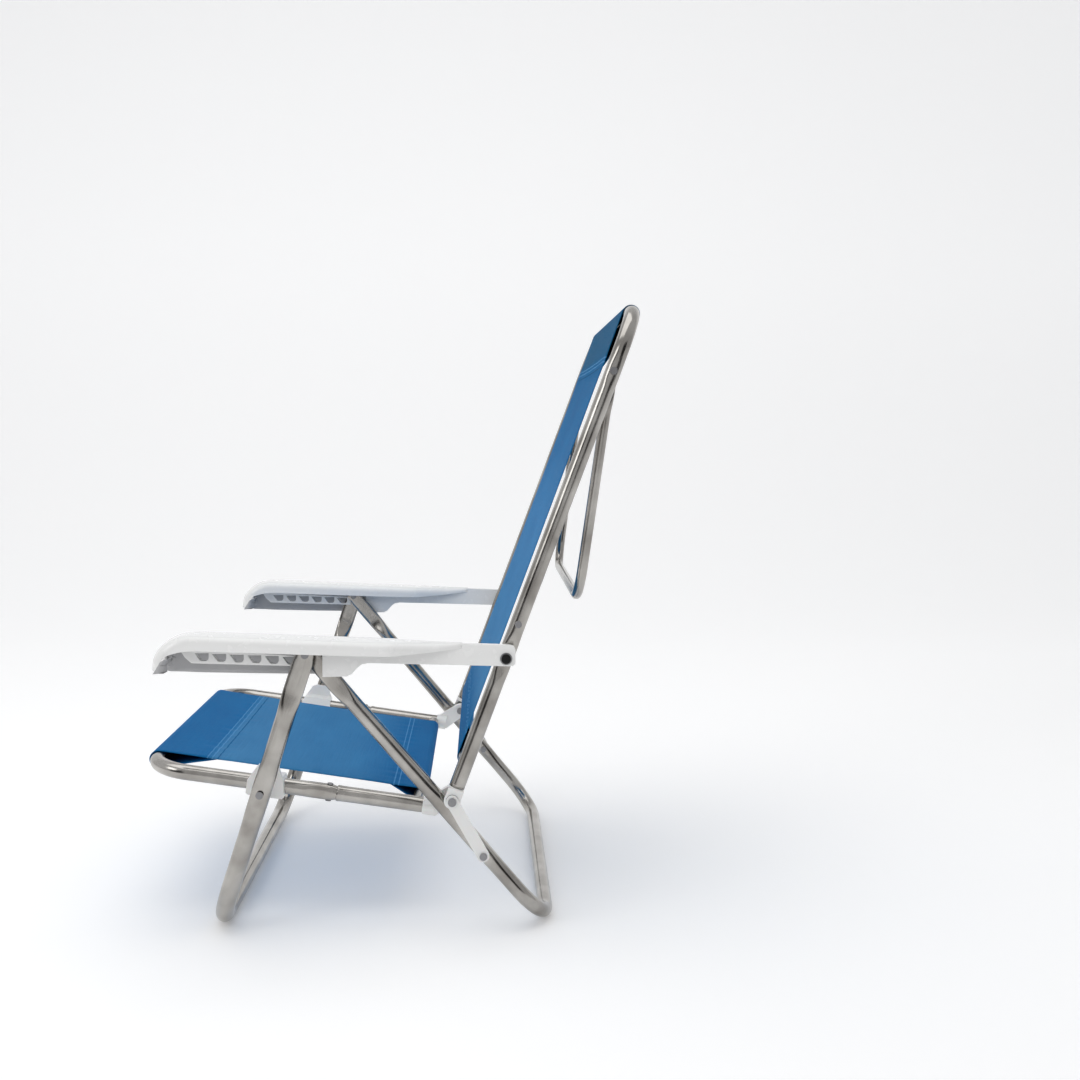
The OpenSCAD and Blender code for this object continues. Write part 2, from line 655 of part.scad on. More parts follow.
module armrest_piece() {
  difference() {
    union() {
      intersection() {
        difference() {
          shell_solid(0);
          shell_solid(1);
          below(band_pts, 0, arm_w);
          below(skirt_pts, -arm_w, 0.01);
          // inner side skirt stops behind the gusset
          translate([-arm_w, gusset_y + 15.9, pin_z - 90]) cube([arm_w + 0.01, 300, 90 + 0.6]);
          translate([-arm_w, shell_rear, 0]) cube([2 * arm_w, 200, 800]);
        }
        plan_outline();
      }
      web_plate();
    }
    slot_cut();
    for (k = [0:6]) window(-103 + 6.6 - window_pitch * (k - 0.32));
    xrod(P, -20, 20, arm_bush_d / 2 + fit);
  }
}
module armrest_left() { color(white) place() translate([arm_x, 0, 0]) armrest_piece(); }
module armrest_right() { color(white) place() translate([-arm_x, 0, 0]) armrest_piece(); }

// ---- drawing ----

rear_leg_frame();
leg_pivot_pins();
link_rivets();
front_leg_frame();
seat_rivets();
link_left();
link_right();
hinge_bolts();
seat_bow();
seat_rail_left();
seat_rail_right();
seat_joint_rivets();
seat_clamp_left();
seat_clamp_right();
rail_end_left();
rail_end_right();
seat_rear_bar();
seat_sling();
hinge_bush_left();
hinge_bush_right();
backrest_frame();
backrest_cap_left();
backrest_cap_right();
backrest_low_bar();
back_sling();
support_rivets();
support_leg();
armrest_screw_left();
armrest_screw_right();
post_rivets();
armrest_bush_left();
armrest_bush_right();
armrest_left();
armrest_right();
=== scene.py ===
import json
import math

import bmesh
import bpy
import numpy as np
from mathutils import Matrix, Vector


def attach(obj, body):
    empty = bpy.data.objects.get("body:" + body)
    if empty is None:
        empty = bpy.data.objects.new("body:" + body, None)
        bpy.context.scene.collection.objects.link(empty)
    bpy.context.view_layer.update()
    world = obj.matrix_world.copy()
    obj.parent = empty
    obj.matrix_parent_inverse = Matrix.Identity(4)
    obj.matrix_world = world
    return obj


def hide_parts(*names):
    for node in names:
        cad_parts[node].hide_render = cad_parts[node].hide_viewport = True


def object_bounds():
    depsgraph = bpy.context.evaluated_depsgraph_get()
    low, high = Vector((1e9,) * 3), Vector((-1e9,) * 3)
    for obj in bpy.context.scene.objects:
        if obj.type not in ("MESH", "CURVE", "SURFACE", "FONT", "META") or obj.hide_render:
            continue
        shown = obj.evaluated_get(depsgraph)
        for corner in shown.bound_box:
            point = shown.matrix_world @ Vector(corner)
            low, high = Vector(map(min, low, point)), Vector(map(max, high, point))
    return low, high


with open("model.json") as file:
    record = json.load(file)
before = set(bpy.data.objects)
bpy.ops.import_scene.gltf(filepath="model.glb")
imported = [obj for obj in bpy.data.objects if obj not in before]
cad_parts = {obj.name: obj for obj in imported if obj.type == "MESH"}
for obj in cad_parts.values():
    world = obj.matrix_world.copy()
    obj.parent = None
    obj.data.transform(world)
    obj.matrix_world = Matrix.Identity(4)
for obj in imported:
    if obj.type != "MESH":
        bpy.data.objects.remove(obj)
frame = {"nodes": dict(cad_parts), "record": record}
cad_low, cad_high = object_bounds()

# Stage: a camera at the sitter's left, low and level with the armrests, a pale
# floor that rises behind into a backdrop, and soft lamps. Two grey boards stand
# behind the main camera so that the bright tube has something dark to mirror.
scene = bpy.context.scene
scene.view_settings.view_transform = "Standard"
lens = bpy.data.cameras.new("camera")
lens.lens, lens.sensor_width = 41.48, 36.0
lens.clip_start, lens.clip_end = 0.05, 30
camera = bpy.data.objects.new("camera", lens)
camera.location = (1.7274, 0.1128, 0.5998)
camera.rotation_euler = (math.radians(90 - 4.63), math.radians(-0.16), math.radians(90 - 2.58))
scene.collection.objects.link(camera)
scene.camera = camera


def linear(code):
    """sRGB hex code to linear red, green, blue and one for alpha."""
    c = np.array([int(code[i:i + 2], 16) for i in (0, 2, 4)]) / 255
    return (*np.where(c <= 0.04045, c / 12.92, ((c + 0.055) / 1.055) ** 2.4), 1.0)


def node(tree, kind, links=None, **settings):
    """Adds a node. settings are its attributes, or socket values when a socket has that name.
    links maps a socket's name to the output that feeds it."""
    n = tree.nodes.new(kind)
    for key, value in settings.items():
        if hasattr(n, key):
            setattr(n, key, value)
    for key, value in settings.items():
        if not hasattr(n, key):
            n.inputs[key.replace("_", " ")].default_value = value
    for key, value in (links or {}).items():
        tree.links.new(value, n.inputs[key])
    return n


def finish_of(name, colour, roughness, metallic=0.0, **sockets):
    """A new material with its constants on the shader's own sockets; returns material, tree and shader."""
    m = bpy.data.materials.new(name)
    m.use_nodes = True
    shader = m.node_tree.nodes["Principled BSDF"]
    shader.inputs["Base Color"].default_value = linear(colour)
    shader.inputs["Roughness"].default_value = roughness
    shader.inputs["Metallic"].default_value = metallic
    for key, value in sockets.items():
        shader.inputs[key.replace("_", " ")].default_value = value
    return m, m.node_tree, shader


def surface(name, points, faces, uv=None):
    """Puts computed points and faces into a new object at the origin. uv is one pair a point."""
    mesh = bpy.data.meshes.new(name)
    mesh.from_pydata(points.reshape(-1, 3), [], faces)
    if uv is not None:
        layer = mesh.uv_layers.new(name="UVMap")
        corner = np.zeros(len(mesh.loops), int)
        mesh.loops.foreach_get("vertex_index", corner)
        layer.data.foreach_set("uv", uv.reshape(-1, 2)[corner].ravel())
    mesh.shade_smooth()
    obj = bpy.data.objects.new(name, mesh)
    scene.collection.objects.link(obj)
    return obj


def grid_faces(rows, columns, wrap=False):
    """Quads of a rows by columns grid of points, closed round the columns when wrap is true."""
    i, j = np.meshgrid(np.arange(rows - 1), np.arange(columns if wrap else columns - 1), indexing="ij")
    k = (j + 1) % columns
    quads = [i * columns + j, (i + 1) * columns + j, (i + 1) * columns + k, i * columns + k]
    return np.stack(quads, -1).reshape(-1, 4)


# the floor runs level, then turns up on a quarter circle of 1.2 m: height as a function of distance
# white paper that glows faintly, so that the shadow stays light, with a little grain in it
paper, tree, shader = finish_of("matt_paper_backdrop", "FCFCFC", 0.9,
                                Emission_Color=(1, 1, 1, 1), Emission_Strength=0.16)
grain = node(tree, "ShaderNodeTexNoise", Scale=3.0)
tree.links.new(node(tree, "ShaderNodeBump", {"Height": grain.outputs["Fac"]}, Strength=0.02).outputs[0],
               shader.inputs["Normal"])
run = np.linspace(-4.0, 6.0, 61)
turn = np.clip((run - 1.8) / 1.2, 0, math.pi / 2)
away = np.where(run < 1.8, run, 1.8 + 1.2 * np.sin(turn))
rise = np.where(run < 1.8, 0, 1.2 * (1 - np.cos(turn)) + np.clip(run - 1.8 - 0.6 * math.pi, 0, None))
side = np.linspace(-6, 6, 9)
floor = surface("floor", np.stack(np.broadcast_arrays(-away[:, None], side[None], rise[:, None]), -1),
                grid_faces(61, 9)[:, ::-1])
floor.data.materials.append(paper)
board, _, _ = finish_of("dull_grey_board", "2A2A2C", 0.8)
boards = surface("boards", np.array([
    [[2.6, -3.2, 0.0], [2.6, -0.9, 0.0], [2.6, -3.2, 1.7], [2.6, -0.9, 1.7]],
    [[2.9, 0.9, 0.0], [2.4, 3.0, 0.0], [2.9, 0.9, 1.5], [2.4, 3.0, 1.5]]]),
    [(0, 1, 3, 2), (4, 5, 7, 6)])
boards.data.materials.append(board)
scene.world = bpy.data.worlds.new("room")
scene.world.use_nodes = True
scene.world.node_tree.nodes["Background"].inputs["Color"].default_value = (0.98, 0.985, 1.0, 1)
scene.world.node_tree.nodes["Background"].inputs["Strength"].default_value = 0.62


def lamp(name, place, aim, size, power):
    """A square soft lamp of that size in metres at place, facing aim."""
    data = bpy.data.lights.new(name, "AREA")
    data.size, data.energy = size, power
    obj = bpy.data.objects.new(name, data)
    obj.location = place
    way = np.array(aim, float) - np.array(place, float)
    obj.rotation_euler = (math.atan2(math.hypot(way[0], way[1]), -way[2]), 0,
                          math.atan2(way[1], way[0]) - math.pi / 2)
    scene.collection.objects.link(obj)


lamp("overhead", (0.3, -0.3, 2.6), (0, 0, 0.3), 2.2, 20)
lamp("front_left", (1.8, -2.0, 1.6), (0, 0, 0.35), 1.1, 10)

# Tube frames: bright drawn aluminium tube with 1.2 mm walls, bent cold and
# pressed flat where a pin or rivet goes through. Each frame is one tube carried
# along its bent line, round for most of its run.
shift = 0.009113  # the frame's y is the drawing's y less this
joints = {j["name"]: np.array(j["pos_m"], float) for j in frame["record"]["behaviour"]["joints"]}
upper_pin, hinge = joints["front_leg_turn"], joints["seat_turn"]
arm_screw, support_pin = joints["armrest_bush_turn_left"], joints["support_leg_swing"]
cad_low, cad_high = np.array(cad_low), np.array(cad_high)

# drawn aluminium: bright, with hair-fine lines along the tube from the die and a
# duller, slightly cloudy skin from handling; the lines are 0.8 mm apart, drawn
# coarser than the real 0.1 mm so that they show
bright_tube, tree, shader = finish_of("drawn_aluminium_tube", "C6C4C0", 0.2, 1.0)
place = node(tree, "ShaderNodeTexCoord")
stretch = node(tree, "ShaderNodeMapping", {"Vector": place.outputs["UV"]}, Scale=(1250, 30, 1))
lines = node(tree, "ShaderNodeTexNoise", {"Vector": stretch.outputs[0]}, Scale=1.0, Detail=2.0)
cloud = node(tree, "ShaderNodeTexNoise", {"Vector": place.outputs["Object"]}, Scale=22.0, Detail=3.0)
mixed = node(tree, "ShaderNodeMath", {0: lines.outputs["Fac"], 1: cloud.outputs["Fac"]}, operation="MULTIPLY")
rough = node(tree, "ShaderNodeMapRange", {"Value": mixed.outputs[0]},
             From_Min=0.12, From_Max=0.4, To_Min=0.13, To_Max=0.27)
tree.links.new(rough.outputs[0], shader.inputs["Roughness"])
tone = node(tree, "ShaderNodeValToRGB", {"Fac": cloud.outputs["Fac"]})
tone.color_ramp.elements[0].position, tone.color_ramp.elements[1].position = 0.3, 0.7
tone.color_ramp.elements[0].color, tone.color_ramp.elements[1].color = linear("8E8A85"), linear("BAB7B2")
tree.links.new(tone.outputs[0], shader.inputs["Base Color"])
drawn = node(tree, "ShaderNodeBump", {"Height": lines.outputs["Fac"]}, Strength=0.06, Distance=0.0002)
tree.links.new(drawn.outputs[0], shader.inputs["Normal"])


def bent_line(corners, radii, step=0.004):
    """Points along straight runs joined by arcs. At a corner of turn f the arc of radius r
    starts and ends r tan(f/2) from it; points on it are centre - n r cos(a) + d r sin(a)."""
    corners = [np.array(c, float) for c in corners]
    parts, start = [], corners[0]
    for k, r in enumerate(radii, 1):
        d = (corners[k] - corners[k - 1]) / np.linalg.norm(corners[k] - corners[k - 1])
        e = (corners[k + 1] - corners[k]) / np.linalg.norm(corners[k + 1] - corners[k])
        f = math.acos(np.clip(d @ e, -1, 1))
        n = (e - (d @ e) * d) / math.sin(f)
        begin = corners[k] - d * r * math.tan(f / 2)
        count = max(2, int(np.linalg.norm(begin - start) / step))
        parts.append(start + np.linspace(0, 1, count, endpoint=False)[:, None] * (begin - start))
        a = np.linspace(0, f, 18, endpoint=False)[:, None]
        parts.append(begin + n * r - n * r * np.cos(a) + d * r * np.sin(a))
        start = corners[k] + e * r * math.tan(f / 2)
    count = max(2, int(np.linalg.norm(corners[-1] - start) / step))
    parts.append(start + np.linspace(0, 1, count)[:, None] * (corners[-1] - start))
    return np.concatenate(parts)


def run_of(line):
    """Distance along a line of points, from its start."""
    return np.r_[0, np.cumsum(np.linalg.norm(np.diff(line, axis=0), axis=1))]


def ease(s, a, b):
    """0 before a, 1 after b, and a smooth step 3t^2 - 2t^3 between."""
    t = np.clip((s - a) / (b - a), 0, 1)
    return t * t * (3 - 2 * t)


def near(s, at, reach):
    """A flat-topped hump: 1 near at, falling to 0 a little past reach."""
    return np.exp(-((s - at) / reach) ** 4)


def tube(name, line, flat_way, across, along, square=2.0, sides=32):
    """A tube carried along line. Its section is the superellipse
    |x/across|^p + |y/along|^p = 1, with y along flat_way and x square to it and the line."""
    s = run_of(line)
    across, along, power = (np.broadcast_to(v, s.shape)[:, None] for v in (across, along, square))
    way = np.gradient(line, s, axis=0)
    way /= np.linalg.norm(way, axis=1)[:, None]
    up = np.array(flat_way, float) / np.linalg.norm(flat_way)
    out = np.cross(way, up)
    out /= np.linalg.norm(out, axis=1)[:, None]
    a = np.linspace(0, 2 * math.pi, sides, endpoint=False)[None]
    x = across * np.sign(np.cos(a)) * np.abs(np.cos(a)) ** (2 / power)
    y = along * np.sign(np.sin(a)) * np.abs(np.sin(a)) ** (2 / power)
    points = line[:, None] + x[..., None] * out[:, None] + y[..., None] * up
    uv = np.stack(np.broadcast_arrays(0.01 * a, s[:, None]), -1)
    points = np.concatenate([points.reshape(-1, 3), line[:1], line[-1:]])
    uv = np.concatenate([uv.reshape(-1, 2), [[0, s[0]], [0, s[-1]]]])
    rows, k = len(s), np.arange(sides)
    first, last, base = rows * sides, rows * sides + 1, (rows - 1) * sides
    ends = [np.stack([np.full(sides, first), k, (k + 1) % sides], -1),
            np.stack([np.full(sides, last), base + (k + 1) % sides, base + k], -1)]
    faces = grid_faces(rows, sides, True).tolist() + ends[0].tolist() + ends[1].tolist()
    obj = surface(name, points, faces, uv)
    obj.data.materials.append(bright_tube)
    return obj


def on_side(origin, way, x, s):
    """A place x across the chair and s along way from origin, in the chair's frame."""
    return np.array([x, 0, 0]) + np.array([0, origin[1], origin[2]]) + s * way


# Front leg frame: one U of 22.2 mm tube. Its tops are pressed into 8 mm tongues
# that hang on the upper pins outside the armrest's rack, and it is squeezed a
# little where the seat rivet goes through.
big_tube, half_tube, half_bar = 0.0111, 0.009525, 0.00795  # half the outside diameters
front_foot = np.array([0, -0.199 - shift, big_tube])
length = np.linalg.norm(front_foot - upper_pin)
front_down = (front_foot - upper_pin) / length
top_x, foot_x = 0.283 + 0.00087, 0.252
line = bent_line([on_side(upper_pin, front_down, top_x, -0.01), on_side(upper_pin, front_down, foot_x, length),
                  on_side(upper_pin, front_down, -foot_x, length),
                  on_side(upper_pin, front_down, -top_x, -0.01)], [0.066, 0.066])
s = run_of(line)
s = np.minimum(s, s[-1] - s) - 0.01
# the tongues stand straight up beside the rack, so they leave the leaning line there
lean_back = (0.282 - 0.283 + 0.087 * np.clip(s, 0, None)) * (1 - ease(s, 0.040, 0.086))
line[:, 0] += np.sign(line[:, 0]) * lean_back
round_in = np.sqrt(np.clip(1 - ((0.010 - (s + 0.01)).clip(0) / 0.0101) ** 2, 0.02, 1))
flat = 1 - ease(s, 0.044, 0.082)
rivet_at = (upper_pin[2] - 0.181) / (upper_pin[2] - front_foot[2]) * length
squeeze = near(s, rivet_at, 0.036)
tip = np.where(s < 0.012, 0.84 + 0.16 * ease(s, 0, 0.012), 1) * round_in
half_across = big_tube * (1 - flat) + 0.004 * flat - 0.0016 * squeeze
half_along = (big_tube * (1 - flat) + 0.0119 * flat + 0.0006 * squeeze) * tip
front_legs = tube("front_leg_tube", line, np.cross(front_down, (1, 0, 0)), half_across, half_along,
                  2 + 3.0 * flat + 1.3 * squeeze, 40)
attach(front_legs, "front_legs")
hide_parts("front_leg_frame")

# Rear leg frame: one U of 19 mm tube on the same pins, inside the armrest's
# rack, dished on its outer face between the lower hinge and the link rivet.
rear_foot = np.array([0, 0.199 - shift, half_tube])
length = np.linalg.norm(rear_foot - upper_pin)
down = (rear_foot - upper_pin) / length
line = bent_line([on_side(upper_pin, down, 0.26, -0.0095), on_side(upper_pin, down, 0.248, length),
                  on_side(upper_pin, down, -0.248, length), on_side(upper_pin, down, -0.26, -0.0095)],
                 [0.060, 0.060])
s = run_of(line)
s = np.minimum(s, s[-1] - s) - 0.0095
lean_back = (0.0015 + 0.027 * np.clip(s, 0, None)) * (1 - ease(s, 0.046, 0.086))
line[:, 0] += np.sign(line[:, 0]) * lean_back
round_in = np.sqrt(np.clip(1 - ((0.0095 - (s + 0.0095)).clip(0) / 0.0096) ** 2, 0.02, 1))
flat = 1 - ease(s, 0.048, 0.084)
dish = near(s, 0.285, 0.052)
tip = np.where(s < 0.01, 0.9 + 0.1 * ease(s, 0, 0.01), 1) * round_in
half_across = half_tube * (1 - flat) + 0.004 * flat - 0.0013 * dish
half_along = (half_tube * (1 - flat) + 0.0105 * flat + 0.0004 * dish) * tip
rear_legs = tube("rear_leg_tube", line, np.cross(down, (1, 0, 0)), half_across, half_along,
                 2 + 3.0 * flat + 1.2 * dish)
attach(rear_legs, "rear_legs")
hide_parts("rear_leg_frame")

# Seat bow and rails: 19 mm tube. The bow's ends are drawn in to slip inside the
# rear rails, and a rivet from above locks each joint.
tilt = math.radians(8.6)
back, above = np.array([0, math.cos(tilt), -math.sin(tilt)]), np.array([0, math.sin(tilt), math.cos(tilt)])
seat_rivet = upper_pin + rivet_at * front_down
rail_x = 0.2265
line = bent_line([on_side(seat_rivet, back, rail_x, 0.092), on_side(seat_rivet, back, rail_x, -0.142),
                  on_side(seat_rivet, back, -rail_x, -0.142), on_side(seat_rivet, back, -rail_x, 0.092)],
                 [0.044, 0.044])
s = run_of(line)
s = np.minimum(s, s[-1] - s)
slim = 1 - ease(s, 0.006, 0.013)
waist = near(s, 0.027, 0.016)
bow = tube("seat_bow_tube", line, above, half_tube - 0.0013 * slim - 0.0015 * waist, half_tube - 0.0013 * slim,
           2 + 0.8 * waist)
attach(bow, "seat")
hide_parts("seat_bow")
for side_name, sign in (("left", 1), ("right", -1)):
    away_from_rivet = np.r_[0.0853, 0.0855, 0.0862, 0.0875, np.linspace(0.09, 0.203, 30)]
    line = on_side(seat_rivet, back, sign * rail_x, 0) + away_from_rivet[:, None] * back
    s = run_of(line)
    # the rail's mouth is belled a little where the bow slips in
    lip = np.interp(s, [0, 0.0002, 0.0009, 0.0022, 0.006], [0.0087, 0.0094, 0.0099, 0.01, half_tube])
    rail = tube("seat_rail_tube_" + side_name, line, above, lip, lip)
    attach(rail, "seat")
    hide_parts("seat_rail_" + side_name)

# Backrest frame: one tall U of 19 mm tube, pinched flat at the armrest screw
# and at the support leg's rivet.
lean = math.radians(69.6)
up_post, behind = np.array([0, math.cos(lean), math.sin(lean)]), np.array([0, math.sin(lean), -math.cos(lean)])
post_x, post_foot, post_top = 0.2565, 0.015, 0.622
line = bent_line([on_side(hinge, up_post, post_x, post_foot), on_side(hinge, up_post, post_x, post_top),
                  on_side(hinge, up_post, -post_x, post_top), on_side(hinge, up_post, -post_x, post_foot)],
                 [0.052, 0.052])
s = run_of(line)
s = np.minimum(s, s[-1] - s) + post_foot
pinch = near(s, 0.184, 0.024) + 0.35 * near(s, 0.545, 0.016)
backrest = tube("backrest_tube", line, behind, half_tube - 0.0018 * pinch, half_tube + 0.0003 * pinch,
                2 + 1.3 * pinch)
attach(backrest, "backrest")
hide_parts("backrest_frame")

# Support leg: a U of 12.7 mm tube that swings on two rivets behind the backrest,
# with its top ends pressed flat.
drop = math.radians(7.5)
down = np.array([0, -math.sin(drop), -math.cos(drop)])
tip_x, low_x, drop_length = 0.2397, 0.210, 0.27706
line = bent_line([on_side(support_pin, down, tip_x, -0.0074), on_side(support_pin, down, low_x, drop_length),
                  on_side(support_pin, down, -low_x, drop_length),
                  on_side(support_pin, down, -tip_x, -0.0074)], [0.044, 0.044])
s = run_of(line)
s = np.minimum(s, s[-1] - s) - 0.0074
line[:, 0] += np.sign(line[:, 0]) * 0.105 * np.clip(s, 0, None) * (1 - ease(s, 0.024, 0.052))
flat = 1 - ease(s, 0.026, 0.05)
round_in = np.sqrt(np.clip(1 - ((-s).clip(0) / 0.0075) ** 2, 0.02, 1))
swing = tube("support_leg_tube", line, np.cross(down, (1, 0, 0)), 0.00635 * (1 - flat) + 0.0036 * flat,
             (0.00635 * (1 - flat) + 0.0073 * flat) * round_in, 2 + 2.5 * flat, 28)
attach(swing, "support_leg")
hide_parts("support_leg")

# Cross bars: plain 15.9 mm tube with saddled ends, kept from the CAD model.
# They have no map of their own, so their drawing lines follow the bar's length.
bar_tube, tree, shader = finish_of("drawn_aluminium_bar", "ACA9A4", 0.22, 1.0)
place = node(tree, "ShaderNodeTexCoord")
stretch = node(tree, "ShaderNodeMapping", {"Vector": place.outputs["Object"]}, Scale=(30, 1250, 1250))
lines = node(tree, "ShaderNodeTexNoise", {"Vector": stretch.outputs[0]}, Scale=1.0)
rough = node(tree, "ShaderNodeMapRange", {"Value": lines.outputs["Fac"]},
             From_Min=0.3, From_Max=0.7, To_Min=0.22, To_Max=0.38)
tree.links.new(rough.outputs[0], shader.inputs["Roughness"])


def dress(material, *names):
    """Gives carried-over CAD nodes one material on every slot."""
    for name in names:
        mesh = frame["nodes"][name].data
        mesh.materials.clear()
        mesh.materials.append(material)


dress(bar_tube, "seat_rear_bar", "backrest_low_bar")

# Slings: open mesh woven from coated yarn, cut as one strip for the seat and
# one for the back. Each end is folded round its bar and closed by two rows of
# stitching. The sheet pulls in at its sides and dips a little in the middle.
def strip(name, half, bars, lift, origin, along, over, hems, dip, pull):
    """A strip of cloth over two bars. Its side view is a line: tail, round the first bar, across,
    round the second bar, tail. Point = origin + x across + y along + z over. With b = 4t(1-t) for a
    place t between the bars, the sides come in by pull sqrt(b) and the middle drops by dip(1-x^2)b;
    the edges roll down by 1 mm exp(-((1-|x|)/0.05)^2) b, and sine puckers 0.8 mm high fade from the hems."""
    (y0, r0), (y1, r1) = bars
    r0, r1 = r0 + lift, r1 + lift
    parts = []
    for y, r, other, hem in ((y0, r0, 1, hems[0]), (y1, r1, -1, hems[1])):
        top = r0 + (r1 - r0) * (y + other * hem - y0) / (y1 - y0) - 0.0016
        reach = math.hypot(hem, top)
        angle = math.atan2(top, hem)
        low = angle - math.acos(r / reach)
        a = np.linspace(low, -1.5 * math.pi, 26)
        bend = np.stack([y + other * r * np.cos(a), r * np.sin(a)], -1)
        tail = np.array([y + other * hem, top])
        t = np.linspace(-0.1, 1, 12, endpoint=False)[:, None]
        parts.append(np.concatenate([tail + t * (bend[0] - tail), bend]))
    body = np.linspace(0, 1, 62)[1:-1, None]
    flat_part = parts[0][-1] + body * (parts[1][-1] - parts[0][-1])
    profile = np.concatenate([parts[0], flat_part, parts[1][::-1]])
    s = np.r_[0, np.cumsum(np.linalg.norm(np.diff(profile, axis=0), axis=1))]
    x = np.linspace(-1, 1, 61)[None]
    y = profile[:, :1]
    t = np.clip((y - y0) / (y1 - y0), 0, 1)
    belly = 4 * t * (1 - t)
    across = x * (half - pull * belly ** 0.5)
    # puckers along both hems, where the stitching gathers the cloth
    hem_edge = np.minimum(np.abs(y - (y0 + hems[0])), np.abs(y - (y1 - hems[1])))
    pucker = 0.0008 * np.sin(across * 330 + 2.1 * np.sin(across * 71)) * np.exp(-(hem_edge / 0.016) ** 2)
    edge_roll = 0.0010 * np.exp(-((1 - np.abs(x)) / 0.05) ** 2) * belly
    z = profile[:, 1:] - dip * (1 - x ** 2) * belly + pucker - edge_roll
    points = (np.array([0, origin[1], origin[2]]) + across[..., None] * np.array([1.0, 0, 0])
              + np.broadcast_to(y, z.shape)[..., None] * along + z[..., None] * over)
    uv = np.stack(np.broadcast_arrays(x * half, s[:, None]), -1)
    obj = surface(name, points, grid_faces(len(s), 61)[:, ::-1], uv)
    thick = obj.modifiers.new("cloth", "SOLIDIFY")
    thick.thickness, thick.offset = 0.0009, 0.0
    return obj, float(s[-1]), s, profile


def mesh_cloth(name, length, seams, tints):
    """Woven mesh: yarns 1.1 mm apart both ways, as two sine waves, drawn a little coarser than the real
    0.8 mm so that they show. seams are distances along the strip of pairs of stitch rows 6 mm apart.
    tints are colours along the strip at given distances."""
    m, tree, shader = finish_of(name, "2F79B5", 0.75, Specular_IOR_Level=0.12)
    place = node(tree, "ShaderNodeTexCoord")
    split = node(tree, "ShaderNodeSeparateXYZ", {"Vector": place.outputs["UV"]})
    u, v = split.outputs["X"], split.outputs["Y"]

    def wave(value, spacing):
        k = node(tree, "ShaderNodeMath", {0: value}, operation="MULTIPLY")
        k.inputs[1].default_value = 2 * math.pi / spacing
        return node(tree, "ShaderNodeMath", {0: k.outputs[0]}, operation="SINE").outputs[0]

    weave = node(tree, "ShaderNodeMath", {0: wave(u, 0.0011), 1: wave(v, 0.0011)}, operation="MULTIPLY")
    streaky = node(tree, "ShaderNodeMapping", {"Vector": place.outputs["UV"]}, Scale=(14, 900, 1))
    slub = node(tree, "ShaderNodeTexNoise", {"Vector": streaky.outputs[0]}, Scale=1.0, Detail=2.0)
    broad = node(tree, "ShaderNodeMapping", {"Vector": place.outputs["UV"]}, Scale=(9, 16, 1))
    patch = node(tree, "ShaderNodeTexNoise", {"Vector": broad.outputs[0]}, Scale=1.0, Detail=3.0)
    level = node(tree, "ShaderNodeMapRange", {"Value": v}, From_Min=0.0, From_Max=length)
    ramp = node(tree, "ShaderNodeValToRGB", {"Fac": level.outputs[0]})
    while len(ramp.color_ramp.elements) < len(tints):
        ramp.color_ramp.elements.new(0.5)
    for e, (at, code) in zip(ramp.color_ramp.elements, tints):
        e.position = at / length
    for e, (at, code) in zip(ramp.color_ramp.elements, tints):
        e.color = linear(code)
    vary = node(tree, "ShaderNodeMix", {"A": ramp.outputs[0]}, data_type="RGBA", blend_type="MULTIPLY")
    gain = node(tree, "ShaderNodeMix", data_type="RGBA")
    colour_in = [i for i in gain.inputs if i.type == "RGBA"]
    colour_in[0].default_value, colour_in[1].default_value = (0.80, 0.86, 0.90, 1), (1.12, 1.08, 1.05, 1)
    both = node(tree, "ShaderNodeMath", {0: slub.outputs["Fac"], 1: patch.outputs["Fac"]}, operation="ADD")
    spread = node(tree, "ShaderNodeMapRange", {"Value": both.outputs[0]}, From_Min=0.7, From_Max=1.3)
    tree.links.new(spread.outputs[0], gain.inputs["Factor"])
    a, b = [i for i in vary.inputs if i.type == "RGBA"]
    tree.links.new(ramp.outputs[0], a)
    tree.links.new([o for o in gain.outputs if o.type == "RGBA"][0], b)
    vary.inputs["Factor"].default_value = 1.0
    colour = [o for o in vary.outputs if o.type == "RGBA"][0]
    height = weave.outputs[0]
    for at in seams:
        for row in (at - 0.003, at + 0.003):
            off = node(tree, "ShaderNodeMath", {0: v}, operation="SUBTRACT")
            off.inputs[1].default_value = row
            far = node(tree, "ShaderNodeMath", {0: off.outputs[0]}, operation="ABSOLUTE")
            line_on = node(tree, "ShaderNodeMapRange", {"Value": far.outputs[0]},
                           From_Min=0.0004, From_Max=0.0011, To_Min=1.0, To_Max=0.0)
            dash = node(tree, "ShaderNodeMapRange", {"Value": wave(u, 0.0036)}, From_Min=-0.75, From_Max=-0.2)
            stitch = node(tree, "ShaderNodeMath", {0: line_on.outputs[0], 1: dash.outputs[0]},
                          operation="MULTIPLY")
            lay = node(tree, "ShaderNodeMix", {"Factor": stitch.outputs[0]}, data_type="RGBA")
            a, b = [i for i in lay.inputs if i.type == "RGBA"]
            b.default_value = linear("5C9DCE")
            tree.links.new(colour, a)
            colour = [o for o in lay.outputs if o.type == "RGBA"][0]
            dent = node(tree, "ShaderNodeMath", {0: line_on.outputs[0], 1: height}, operation="MULTIPLY_ADD")
            dent.inputs[1].default_value = -1.6
            tree.links.new(height, dent.inputs[2])
            height = dent.outputs[0]
    tree.links.new(colour, shader.inputs["Base Color"])
    tree.links.new(node(tree, "ShaderNodeBump", {"Height": height}, Strength=0.35, Distance=0.0002).outputs[0],
                   shader.inputs["Normal"])
    return m


